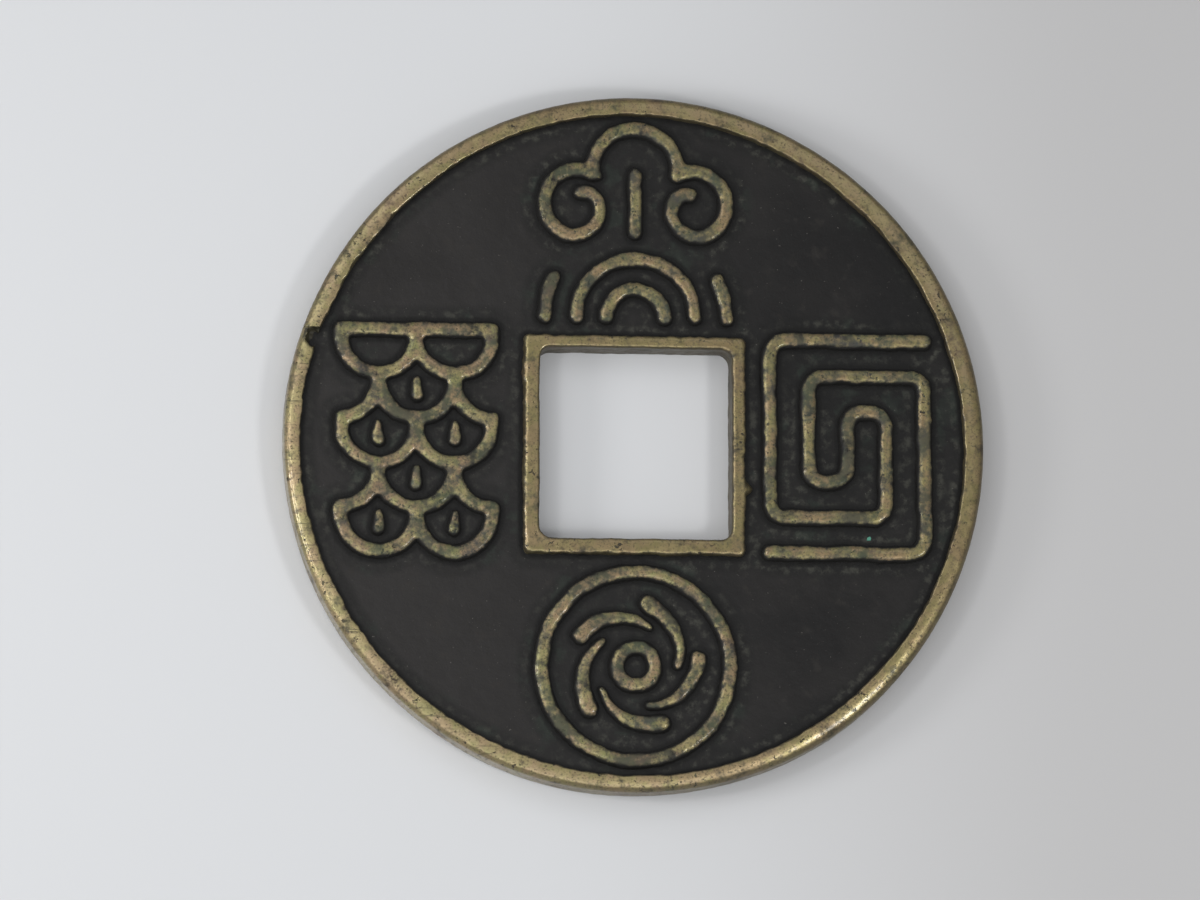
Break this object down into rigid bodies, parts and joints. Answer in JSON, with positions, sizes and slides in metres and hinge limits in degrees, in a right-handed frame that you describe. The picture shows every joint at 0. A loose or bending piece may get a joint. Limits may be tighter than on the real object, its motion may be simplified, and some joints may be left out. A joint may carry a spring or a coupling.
{
  "type": "cash coin",
  "caption": "Round cast bronze cash coin with a square hole, rims round the edge and the hole, and raised traditional ornaments on a dark patinated field.",
  "frame": {"origin": "middle of the square hole, on the surface that the coin rests on", "axes": "+Z out of the ornamented front face, +Y towards the coin's top, where the cloud is, +X to its right"},
  "size_m": [0.045, 0.045, 0.0026],
  "materials": {
    "dark_field": "satin, nearly black patina",
    "worn_rim": "satin, worn bright on top, pitted",
    "worn_line": "satin, worn on top, dark and greenish at the foot"
  },
  "bodies": {
    "root": {"field_disc": "dark_field", "front_outer_rim": "worn_rim", "front_inner_rim": "worn_rim", "back_outer_rim": "worn_rim", "back_inner_rim": "worn_rim", "cloud_head": "worn_line", "cloud_drop": "worn_line", "hill_outer": "worn_line", "hill_inner": "worn_line", "hill_side_left": "worn_line", "hill_side_right": "worn_line", "thunder_fret": "worn_line", "whorl_ring": "worn_line", "whorl_eye": "worn_line", "whorl_arm_1": "worn_line", "whorl_arm_2": "worn_line", "whorl_arm_3": "worn_line", "whorl_arm_4": "worn_line", "whorl_arm_5": "worn_line", "scale_net": "worn_line", "scale_drop_1": "worn_line", "scale_drop_2": "worn_line", "scale_drop_3": "worn_line", "scale_drop_4": "worn_line", "scale_drop_5": "worn_line", "scale_drop_6": "worn_line"}
  },
  "joints": []
}
